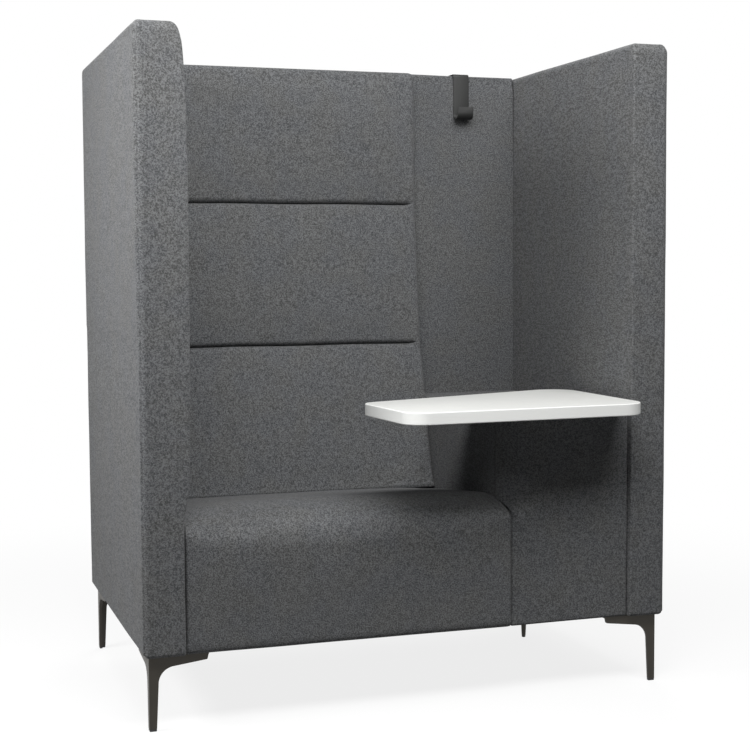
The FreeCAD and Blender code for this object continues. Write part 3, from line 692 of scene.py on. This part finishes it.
def swell(piece, free, pressure, most):
    """Blows a held cloth up like a filled cover, and keeps each point within the most it may move.

    The mesh becomes a cloth with a steady inner pressure and no gravity; points with a free share
    of 0 are held. The movement is then eased, so that a long one ends near the most and a short
    one stays, and each point keeps its free share of it.
    """
    group = piece.vertex_groups.new(name="held")
    group.add(np.flatnonzero(free <= 0).tolist(), 1.0, "REPLACE")
    simulated = piece.modifiers.new("Swelling", "CLOTH")
    settings = simulated.settings
    settings.vertex_group_mass = "held"
    settings.use_pressure = True
    settings.uniform_pressure_force = pressure
    settings.effector_weights.gravity = 0.0
    settings.quality = 5
    settings.mass = 0.4
    settings.tension_stiffness = 25.0
    settings.compression_stiffness = 25.0
    settings.bending_stiffness = 2.0
    simulated.collision_settings.use_collision = False
    simulated.point_cache.frame_end = SWELL_FRAMES
    scene = bpy.context.scene
    for number in range(1, SWELL_FRAMES + 1):
        scene.frame_set(number)
    graph = bpy.context.evaluated_depsgraph_get()
    shown = piece.evaluated_get(graph)
    after = np.zeros(len(piece.data.vertices) * 3, np.float32)
    shown.data.vertices.foreach_get("co", after)
    before = np.zeros_like(after)
    piece.data.vertices.foreach_get("co", before)
    move = (after - before).reshape(-1, 3).astype(float)
    distance = np.linalg.norm(move, axis=1, keepdims=True)
    eased = move * most * np.tanh(distance / most) / np.maximum(distance, TINY)
    eased *= free[:, None]
    piece.modifiers.remove(simulated)
    piece.vertex_groups.remove(group)
    scene.frame_set(1)
    piece.data.vertices.foreach_set("co", (before.reshape(-1, 3) + eased).astype(np.float32).ravel())
    piece.data.update()


class BOOTH_OT_seat(bpy.types.Operator):
    """Padded seat: one cloth from the front over the top, blown up by simulation"""

    bl_idname = "booth.seat"
    bl_label = "Seat"

    # The side outline's heights, its crest's place and its roundings
    front_height = 0.402
    crest_depth = 0.093
    crest_height = 0.434
    rear_height = 0.374
    front_radius = 0.03
    crest_radius = 0.31
    base_radius = 0.01
    rear_radius = 0.002
    arc_points = 12
    step = 0.0085
    cap_shares = (0.9, 0.72, 0.5, 0.27, 0.1)
    crown_start = 0.12
    crown_below_crest = 0.02
    crown_power = 4
    front_ripple = 0.7
    crest_ripple = 1.7
    ripple_start = 0.15
    seam_place = 0.3
    seam_foot = 0.02
    pressure = 1.2
    # Distances over which the swelling grows: from the ends, from below and from the rear
    free_ends = (0.02, 0.06)
    free_heights = (0.06, 0.22)
    free_rear = (0.01, 0.05)

    def outline(self, low, high):
        """The seat's side outline as evenly spaced points: straight runs joined by tangent arcs."""
        corners = (
            (low[1], low[2], self.base_radius),
            (high[1], low[2], self.rear_radius),
            (high[1], self.rear_height, self.rear_radius),
            (low[1] + self.crest_depth, self.crest_height, self.crest_radius),
            (low[1], self.front_height, self.front_radius),
        )
        path = []
        count = len(corners)
        for i, (y, z, radius) in enumerate(corners):
            spot = np.array([y, z])
            back = np.array(corners[i - 1][:2]) - spot
            ahead = np.array(corners[(i + 1) % count][:2]) - spot
            back = back / np.linalg.norm(back)
            ahead = ahead / np.linalg.norm(ahead)
            half = math.acos(np.clip(back @ ahead, -1, 1)) / 2
            bisector = (back + ahead) / np.linalg.norm(back + ahead)
            centre = spot + bisector * radius / math.sin(half)
            sweep = math.pi / 2 - half
            turning = np.linspace(-sweep, sweep, self.arc_points)
            side = np.array([-bisector[1], bisector[0]])
            sign = 1.0 if side @ ahead > 0 else -1.0
            arc = centre - radius * np.outer(np.cos(turning), bisector)
            path.append(arc + sign * radius * np.outer(np.sin(turning), side))
        path = np.concatenate(path + [path[0][:1]])
        run = np.concatenate([[0], np.cumsum(np.linalg.norm(np.diff(path, axis=0), axis=1))])
        spots = np.linspace(0, run[-1], round(run[-1] / self.step) + 1)[:-1]
        return np.stack([np.interp(spots, run, path[:, 0]), np.interp(spots, run, path[:, 1])], axis=1)

    def skin(self, low, high):
        """Points, quads and the two closing loops of the outline carried across the seat.

        The outline is drawn in along a quarter circle at both ends, and shrinks to a flat cap there.
        """
        sizes = padding()
        ring = self.outline(low, high)
        ahead = np.roll(ring, -1, axis=0) - np.roll(ring, 1, axis=0)
        outward = np.stack([ahead[:, 1], -ahead[:, 0]], axis=1)
        outward /= np.linalg.norm(outward, axis=1, keepdims=True)
        radius = sizes.seat_end
        across = graded(low[0], high[0], radius, EDGE_STEP, self.step)
        from_end = np.minimum(across - low[0], high[0] - across)
        angle = np.clip(from_end / radius, 0, 1) * math.pi / 2
        place = np.where(from_end < radius, radius * (1 - np.cos(angle)), from_end)
        stations = np.where(across < (low[0] + high[0]) / 2, low[0] + place, high[0] - place)
        inset = np.where(from_end < radius, radius * (1 - np.sin(angle)), 0.0)
        rings = ring[None] - outward[None] * inset[:, None, None]
        shrinks = np.array(self.cap_shares)
        centre = ring.mean(axis=0)
        caps = [centre + (rings[end] - centre) * shrinks[:, None, None] for end in (0, -1)]
        rows = np.concatenate([caps[0][::-1], rings, caps[1]])
        cap_x = np.ones(len(shrinks))
        row_x = np.concatenate([cap_x * stations[0], stations, cap_x * stations[-1]])
        count_rows, count_ring = rows.shape[:2]
        points = np.empty((count_rows, count_ring, 3))
        points[..., 0] = row_x[:, None]
        points[..., 1:] = rows
        crown_end = self.crest_height - self.crown_below_crest
        top = smooth_step(low[2] + self.crown_start, crown_end, points[..., 2])
        crown = bulge(points[..., 0], low[0], high[0], self.crown_power)
        points[..., 2] += sizes.seat_crown * top * (crown - 1)
        points = points.reshape(-1, 3)
        first, second = np.meshgrid(np.arange(count_rows - 1), np.arange(count_ring), indexing="ij")
        corner = first * count_ring + second
        beside = first * count_ring + (second + 1) % count_ring
        faces = np.stack([corner, corner + count_ring, beside + count_ring, beside], axis=-1).reshape(-1, 4)
        loops = [list(range(count_ring)), list(range(len(points) - count_ring, len(points)))[::-1]]
        if (vertex_normals(points, faces)[:, 2] * (points[:, 2] - centre[1])).sum() < 0:
            faces = faces[:, ::-1]
            loops = [loop[::-1] for loop in loops]
        return points, faces, loops

    def free_share(self, points, from_end, low, high):
        """1 where the cloth may swell, fading to 0 at the ends, the lower front and the rear."""
        free = smooth_step(*self.free_ends, from_end)
        free = free * smooth_step(*self.free_heights, points[:, 2] - low[2])
        return free * smooth_step(*self.free_rear, high[1] - points[:, 1])

    def execute(self, context):
        sizes = padding()
        low, high = fitted("seat_cover", sizes.joint_gap)
        low[2] -= sizes.joint_gap
        points, faces, loops = self.skin(low, high)
        near_crest = smooth_step(low[2] + self.ripple_start, self.front_height, points[:, 2])
        unevenness = self.front_ripple + self.crest_ripple * near_crest
        ripple = unevenness * slow_ripple(points, sizes.ripple)
        points = points + vertex_normals(points, faces) * ripple[:, None]
        from_end = np.minimum(points[:, 0] - low[0], high[0] - points[:, 0])
        # Painted shade: a dark line along each end's rounding, where the seat meets the wing and the
        # pedestal.
        from_seam = np.abs(from_end - self.seam_place * sizes.seat_end)
        seam = np.exp(-((from_seam / sizes.seam_width) ** 2)) * (points[:, 2] > low[2] + self.seam_foot)
        turn_hem(points, low[2], inside_box(points, low, high))
        piece = new_piece("seat_upholstery", points, faces.tolist() + loops, seam)
        free = self.free_share(points, from_end, low, high)
        swell(piece, free, self.pressure, sizes.seat_swell)
        dress(piece, cloth(), ["seat_cover", "seat_foam", "seat_front_pad"])
        return {"FINISHED"}


class BOOTH_OT_back_cushion(bpy.types.Operator):
    """Back cushion of three sections, blown up by simulation between two sewn tucks"""

    bl_idname = "booth.back_cushion"
    bl_label = "Back cushion"

    # Heights of the tucks, and the cushion's depths at its foot, its tucks and its top
    tuck_heights = (0.736, 1.076)
    depth_heights = (0.393, *tuck_heights, 1.398)
    depths = (0.166, 0.072, 0.035, 0.033)
    # Grid levels away from each tuck, and the least room beside the outermost
    tuck_levels = (0.0, 0.0007, 0.0018, 0.0034, 0.0055, 0.008, 0.011, 0.0145, 0.0185, 0.0235)
    level_room = 0.004
    # A tuck's turn up near the ends, and its slow wander in height
    upturn = 0.003
    upturn_reach = (0.03, 0.004)
    wander_height = 0.0006
    wander_turns = 23.0
    wander_reach = 0.03
    foot_edge = 0.004
    foot_reach = (0.05, 0.02)
    sink_reach = 0.03
    end_margin = 0.006
    crown_power = 2.4
    side_power = 8
    stitch_width = 0.002
    ripple_share = 1.2
    pressure = 2.0
    fine_zone = 0.018
    open_step = 0.0095
    depth_zone = 0.014
    depth_step = 0.006
    # Shares of the depth at which the front begins and is whole
    front_shares = (0.2, 0.9)
    # Distances from the ends, the tucks, the foot and the top within which the cloth is held
    held_end = 0.02
    held_tuck = 0.012
    held_foot = 0.03
    held_top = 0.02

    def heights(self, low, high):
        """Levels up the cushion: fine at both ends and round each tuck, coarse between."""
        fine = np.array(self.tuck_levels)
        levels = [graded(low[2], high[2], self.fine_zone, EDGE_STEP, self.open_step)]
        for tuck in self.tuck_heights:
            levels[0] = levels[0][np.abs(levels[0] - tuck) > fine[-1] + self.level_room]
            levels += [tuck + fine, tuck - fine[1:]]
        return np.sort(np.concatenate(levels))

    def execute(self, context):
        sizes = padding()
        low, high = fitted("back_cushion_cover", 0.0)
        low[0] += sizes.joint_gap
        high[0] -= sizes.joint_gap
        back = high[1]
        thinnest = min(self.depths)
        low[1] = back - thinnest
        lines = [
            graded(low[0], high[0], self.fine_zone, EDGE_STEP, self.open_step),
            graded(low[1], high[1], self.depth_zone, EDGE_STEP, self.depth_step),
            self.heights(low, high),
        ]
        points, faces = box_grid(lines)
        corners = np.full((2, 2), sizes.cushion_corner)
        corners[:, 0] = self.foot_edge
        flat_x = points[:, 0].copy()
        flat_z = points[:, 2].copy()
        tight = smooth_step(*self.foot_reach, flat_z - low[2])
        edge = sizes.cushion_edge + (self.foot_edge - sizes.cushion_edge) * tight
        points = soft_box(points, low, high, 1, edge, corners)[0]
        depth = back - points[:, 1]
        share = np.clip(depth / (thinnest - edge), 0, 1)
        wanted = np.interp(flat_z, self.depth_heights, self.depths)
        from_end = np.minimum(flat_x - low[0], high[0] - flat_x)
        fade = smooth_step(self.end_margin, self.end_margin + sizes.tuck_fade, from_end)
        bounds = np.array([low[2], *self.tuck_heights, high[2]])
        section = np.clip(np.searchsorted(bounds, flat_z) - 1, 0, 2)
        crown = bulge(flat_z, bounds[section], bounds[section + 1], self.crown_power)
        wanted += sizes.cushion_crown * crown * bulge(flat_x, low[0], high[0], self.side_power)
        seam = np.zeros(len(points))
        rise = np.zeros(len(points))
        for tuck in self.tuck_heights:
            past = np.clip(1 - np.abs(flat_z - tuck) / sizes.tuck_reach, 0, 1)
            wanted -= sizes.tuck_depth * fade * (1 - np.sqrt(1 - past**2))
            # Painted shade: a dark line along each tuck's groove, fading out towards the ends.
            seam = np.maximum(seam, fade * np.exp(-(((flat_z - tuck) / self.stitch_width) ** 2)))
            wander = self.wander_height * np.sin(flat_x * self.wander_turns + tuck)
            wander += self.upturn * smooth_step(*self.upturn_reach, from_end)
            rise += wander * np.exp(-(((flat_z - tuck) / self.wander_reach) ** 2))
        full_depth = depth + (wanted - thinnest) * share
        points[:, 1] = back - full_depth
        points[:, 2] += rise
        foot = smooth_step(self.sink_reach, 0.0, flat_z - low[2])
        slope = np.clip(full_depth / max(self.depths), 0, 1)
        points[:, 2] += foot * (slope * (self.depth_heights[0] - low[2]) - sizes.cushion_sink)
        front = smooth_step(*self.front_shares, share) * fade
        points[:, 1] -= front * slow_ripple(points, self.ripple_share * sizes.ripple)
        piece = new_piece("back_cushion_upholstery", points, faces, seam)
        near_tuck = np.min([np.abs(flat_z - tuck) for tuck in self.tuck_heights], axis=0)
        free = (share > self.front_shares[1]) & (from_end > self.held_end)
        free &= near_tuck > self.held_tuck
        free &= (flat_z > low[2] + self.held_foot) & (flat_z < high[2] - self.held_top)
        swell(piece, free.astype(float), self.pressure, sizes.cushion_swell)
        dress(piece, cloth(), ["back_cushion_cover", "back_cushion_foam"])
        return {"FINISHED"}


class BOOTH_OT_dust_sheets(bpy.types.Operator):
    """Thin cloth stapled under each frame, sagging a little in the middle"""

    bl_idname = "booth.dust_sheets"
    bl_label = "Dust sheets"

    carriers = {
        "left_wing": "left_wing_frame",
        "right_wing": "right_wing_frame",
        "back": "back_frame",
        "seat": "seat_carcass",
        "pedestal": "pedestal_carcass",
    }
    step = 0.02
    fewest = 12
    corner_radius = 0.04
    wrinkle_share = 0.15
    wrinkle_turns = (31, 23)

    def execute(self, context):
        dark_cloth = material_of(
            "dust_cloth", lambda name: woven_tape(name, (0.012, 0.012, 0.013), (0.04, 0.04, 0.042), 4200.0)
        )
        sag = padding().sheet_sag
        for name, carrier in self.carriers.items():
            node = name + "_dust_sheet"
            low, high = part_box(node)
            width = high[0] - low[0]
            depth = high[1] - low[1]
            columns = max(self.fewest, round(width / self.step))
            rows = max(self.fewest, round(depth / self.step))
            shares = (np.linspace(0, 1, columns), np.linspace(0, 1, rows))
            share_x, share_y = np.meshgrid(*shares, indexing="ij")
            hang = sag * np.sin(np.pi * share_x) ** 2 * np.sin(np.pi * share_y) ** 2
            turn_x, turn_y = self.wrinkle_turns
            wrinkle = self.wrinkle_share * hang * np.sin(share_x * turn_x) * np.sin(share_y * turn_y)
            points = np.stack(
                [low[0] + width * share_x, low[1] + depth * share_y, high[2] - hang - wrinkle], axis=-1
            )
            if name == "pedestal":
                points = self.round_corner(points, np.array(low), self.corner_radius)
            spot = np.arange(columns * rows).reshape(columns, rows)
            corners = [spot[:-1, :-1], spot[:-1, 1:], spot[1:, 1:], spot[1:, :-1]]
            faces = np.stack(corners, axis=-1).reshape(-1, 4)
            piece = new_piece(name + "_dust_cloth", points.reshape(-1, 3), faces)
            thickness = piece.modifiers.new("Thickness", "SOLIDIFY")
            thickness.thickness = high[2] - low[2]
            thickness.offset = 1.0
            dress(piece, dark_cloth, [node])
        return {"FINISHED"}

    def round_corner(self, points, low, radius):
        """Draws the front-left corner of a sheet in to a circle, level by level from its centre."""
        centre = low[:2] + radius
        past = np.minimum(points[..., :2] - centre, 0)
        level = np.abs(past).max(axis=-1, keepdims=True)
        reach = np.maximum(np.linalg.norm(past, axis=-1, keepdims=True), TINY)
        corner = (past < 0).all(axis=-1, keepdims=True)
        moved = np.where(corner, centre + past / reach * level, points[..., :2])
        return np.concatenate([moved, points[..., 2:]], axis=-1)


def softened_copy(node, width, name):
    """A copy of a node with its triangles merged, its flat faces joined and its edges bevelled."""
    merge_distance = 1e-5
    flat_angle = math.radians(0.6)
    source = frame["nodes"][node]
    shape = bmesh.new()
    shape.from_mesh(source.data)
    bmesh.ops.remove_doubles(shape, verts=shape.verts, dist=merge_distance)
    bmesh.ops.dissolve_limit(shape, angle_limit=flat_angle, verts=shape.verts, edges=shape.edges)
    mesh = bpy.data.meshes.new(name)
    shape.to_mesh(mesh)
    shape.free()
    shade_smooth(mesh)
    piece = placed(name, mesh)
    bevel = piece.modifiers.new("Soft edges", "BEVEL")
    bevel.width = width
    bevel.segments = 3
    bevel.limit_method = "ANGLE"
    bevel.angle_limit = math.radians(35)
    bevel.harden_normals = True
    return piece


class BOOTH_OT_metalwork(bpy.types.Operator):
    """Legs, middle foot and coat hook with softened edges"""

    bl_idname = "booth.metalwork"
    bl_label = "Legs and hook"

    def execute(self, context):
        colours = finish_colours()
        width = padding().metal_edge
        bronze = material_of("bronze_coat", lambda name: powder_coat(name, tuple(colours.leg), 0.42, 0.35))
        legs = [node for node in frame["nodes"] if node.endswith("_leg") or node == "middle_foot"]
        for node in sorted(legs):
            piece = softened_copy(node, width, node + "_coated")
            dress(piece, bronze, [node])
        grey = material_of("grey_coat", lambda name: powder_coat(name, tuple(colours.hook), 0.5, 0.2))
        piece = softened_copy("coat_hook", 0.6 * width, "coat_hook_coated")
        dress(piece, grey, ["coat_hook"], HOOK)
        return {"FINISHED"}


class BOOTH_OT_carried_pieces(bpy.types.Operator):
    """Finishes of the pieces whose made shape is shown as it is"""

    bl_idname = "booth.carried_pieces"
    bl_label = "Table and inner pieces"

    # Each wood's pale and dark tone, its grain lines per metre and their stretch along the axes
    woods = {
        "timber": ((0.62, 0.44, 0.26), (0.42, 0.26, 0.13), 60.0, (1, 1, 0.06)),
        "plywood": ((0.68, 0.52, 0.34), (0.5, 0.35, 0.2), 45.0, (0.07, 0.4, 1)),
        "hardboard": ((0.33, 0.21, 0.12), (0.22, 0.135, 0.075), 900.0, (1, 1, 1)),
    }

    def execute(self, context):
        colours = finish_colours()
        makers = {
            "table_laminate": lambda name: laminate(name, tuple(colours.table), 0.36),
            "table_edge": lambda name: laminate(name, tuple(colours.table_edge), 0.55),
            "webbing": lambda name: woven_tape(name, (0.02, 0.02, 0.022), (0.09, 0.09, 0.095), 2600.0),
            "steel": turned_steel,
            "glide_plastic": moulded_plastic,
        }
        for slot, look in self.woods.items():
            makers[slot] = lambda name, look=look: timber(name, *look)
        for row in frame["record"]["subparts"]:
            if row["material_slot"] in makers:
                skins = frame["nodes"][row["node"]].data.materials
                skins.clear()
                skins.append(material_of(row["material_slot"] + "_finish", makers[row["material_slot"]]))
        return {"FINISHED"}


class BOOTH_OT_stage(bpy.types.Operator):
    """Pale floor, soft light, white surroundings and the camera"""

    bl_idname = "booth.stage"
    bl_label = "Studio"

    floor_half = 14.0
    floor_drop = 0.0002
    # Share of plain white near the booth, and the distances between which the rest is made up
    plain_white = 0.83
    shadow_reach = (0.9, 2.4)
    # Each light's width and height, its place and the point that it faces
    lights = {
        "key": ((2.2, 1.1), (0.0, -1.6, 2.75), (0.0, -0.1, 0.9)),
        "front": ((1.4, 0.5), (-0.4, -1.2, 1.85), (-0.3, -0.3, 1.2)),
        "side": ((1.0, 0.5), (-1.9, -0.22, 1.55), (-0.5, -0.05, 1.0)),
        "rear": ((1.6, 1.0), (1.0, 2.3, 1.7), (0.2, 0.3, 0.8)),
    }

    def shown_rays(self, finish):
        """1 for rays from the camera, and for what shines in or through a surface."""
        path = finish.add("ShaderNodeLightPath", None, None, "Is Camera Ray")
        outputs = path.socket.node.outputs
        seen = path + Term(finish, outputs["Is Glossy Ray"]) + Term(finish, outputs["Is Transmission Ray"])
        return finish.add("ShaderNodeMath", {"operation": "MINIMUM"}, {0: seen, 1: 1.0})

    def make_floor(self):
        """A wide flat floor, white to the camera with the booth's shadow on it."""
        half = self.floor_half
        points = np.array([[-half, -half, 0], [half, -half, 0], [half, half, 0], [-half, half, 0]], float)
        points[:, 2] = -self.floor_drop
        floor = new_piece("floor", points, np.array([[0, 1, 2, 3]]))
        finish = Finish("pale_floor")
        bounce = finish.add("ShaderNodeBsdfDiffuse", None, {"Color": (0.22, 0.22, 0.22)})
        matt = finish.add("ShaderNodeBsdfDiffuse", None, {"Color": (0.95, 0.95, 0.95)})
        glow = finish.add("ShaderNodeEmission", None, {"Color": (1.0, 1.0, 1.0), "Strength": 1.0})
        distance = finish.add("ShaderNodeVectorMath", {"operation": "LENGTH"}, {0: finish.place()}, "Value")
        far = finish.between(distance, *self.shadow_reach)
        evenness = self.plain_white + far * (1 - self.plain_white)
        white = finish.add("ShaderNodeMixShader", None, {0: evenness, 1: matt, 2: glow})
        both = finish.add("ShaderNodeMixShader", None, {0: self.shown_rays(finish), 1: bounce, 2: white})
        finish.add("ShaderNodeOutputMaterial", None, {"Surface": both})
        floor.data.materials.append(finish.owner)

    def make_world(self, sky):
        """White where it is seen, and an even soft light elsewhere."""
        world = bpy.data.worlds.new("surroundings")
        bpy.context.scene.world = world
        finish = Finish("surroundings", world)
        soft = finish.add("ShaderNodeBackground", None, {"Color": (0.96, 0.98, 1.0), "Strength": sky})
        white = finish.add("ShaderNodeBackground", None, {"Color": (1.0, 1.0, 1.0), "Strength": 1.0})
        both = finish.add("ShaderNodeMixShader", None, {0: self.shown_rays(finish), 1: soft, 2: white})
        finish.add("ShaderNodeOutputWorld", None, {"Surface": both})

    def make_light(self, name, power, size, place, target):
        """A soft rectangular light that faces a target."""
        light = bpy.data.lights.new(name, "AREA")
        light.energy = power
        light.shape = "RECTANGLE"
        light.size, light.size_y = size
        lamp = placed(name, light)
        ahead = np.array(target, float) - np.array(place, float)
        ahead = ahead / np.linalg.norm(ahead)
        side = np.cross(ahead, (0.0, 0.0, 1.0))
        side = side / np.linalg.norm(side)
        lamp.matrix_world = self.facing(place, ahead, side)

    def facing(self, place, ahead, side):
        """The matrix of something at a place that looks ahead with its own X to the side."""
        up = np.cross(side, ahead)
        matrix = np.eye(4)
        matrix[:3, 0], matrix[:3, 1], matrix[:3, 2], matrix[:3, 3] = side, up, -ahead, place
        return Matrix(matrix.tolist())

    def make_camera(self, studio):
        """A camera turned by its yaw, tilted by its pitch, then rolled about its own axis."""
        yaw, pitch, roll = studio.yaw, studio.pitch, studio.roll
        ahead = np.array(
            [math.sin(yaw) * math.cos(pitch), math.cos(yaw) * math.cos(pitch), -math.sin(pitch)]
        )
        level = np.array([math.cos(yaw), -math.sin(yaw), 0.0])
        side = math.cos(roll) * level + math.sin(roll) * np.cross(level, ahead)
        data = bpy.data.cameras.new("camera")
        data.lens = studio.lens
        data.sensor_width = 36.0
        data.sensor_fit = "AUTO"
        camera = placed("camera", data)
        place = (studio.camera_x, studio.camera_y, studio.camera_z)
        camera.matrix_world = self.facing(place, ahead, side)
        bpy.context.scene.camera = camera

    def execute(self, context):
        studio = context.scene.booth_studio
        self.make_floor()
        self.make_world(studio.sky)
        for name, (size, place, target) in self.lights.items():
            power = getattr(studio, name + "_power")
            self.make_light(name + "_light", power, size, place, target)
        self.make_camera(studio)
        context.scene.view_settings.view_transform = "Standard"
        return {"FINISHED"}


class BOOTH_PT_sidebar(bpy.types.Panel):
    """Lists the booth's sizes, finishes and steps"""

    bl_idname = "BOOTH_PT_sidebar"
    bl_label = "Privacy booth sofa"
    bl_space_type = "VIEW_3D"
    bl_region_type = "UI"
    bl_category = "Booth"

    def draw(self, context):
        for group in (context.scene.booth_padding, context.scene.booth_finish, context.scene.booth_studio):
            box = self.layout.box()
            for name in group.__annotations__:
                box.prop(group, name)
        for operator in OPERATORS:
            self.layout.operator(operator.bl_idname)


GROUPS = {"booth_padding": BoothPadding, "booth_finish": BoothFinish, "booth_studio": BoothStudio}
OPERATORS = (
    BOOTH_OT_panels,
    BOOTH_OT_pedestal,
    BOOTH_OT_seat,
    BOOTH_OT_back_cushion,
    BOOTH_OT_dust_sheets,
    BOOTH_OT_metalwork,
    BOOTH_OT_carried_pieces,
    BOOTH_OT_stage,
)


def register():
    for group in GROUPS.values():
        bpy.utils.register_class(group)
    for name, group in GROUPS.items():
        setattr(bpy.types.Scene, name, PointerProperty(type=group))
    for item in (*OPERATORS, BOOTH_PT_sidebar):
        bpy.utils.register_class(item)


def unregister():
    for item in (BOOTH_PT_sidebar, *reversed(OPERATORS)):
        bpy.utils.unregister_class(item)
    for name, group in GROUPS.items():
        delattr(bpy.types.Scene, name)
        bpy.utils.unregister_class(group)


def main():
    """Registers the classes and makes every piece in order."""
    register()
    bpy.ops.booth.panels()
    bpy.ops.booth.pedestal()
    bpy.ops.booth.seat()
    bpy.ops.booth.back_cushion()
    bpy.ops.booth.dust_sheets()
    bpy.ops.booth.metalwork()
    bpy.ops.booth.carried_pieces()
    bpy.ops.booth.stage()


if __name__ == "__main__":
    main()
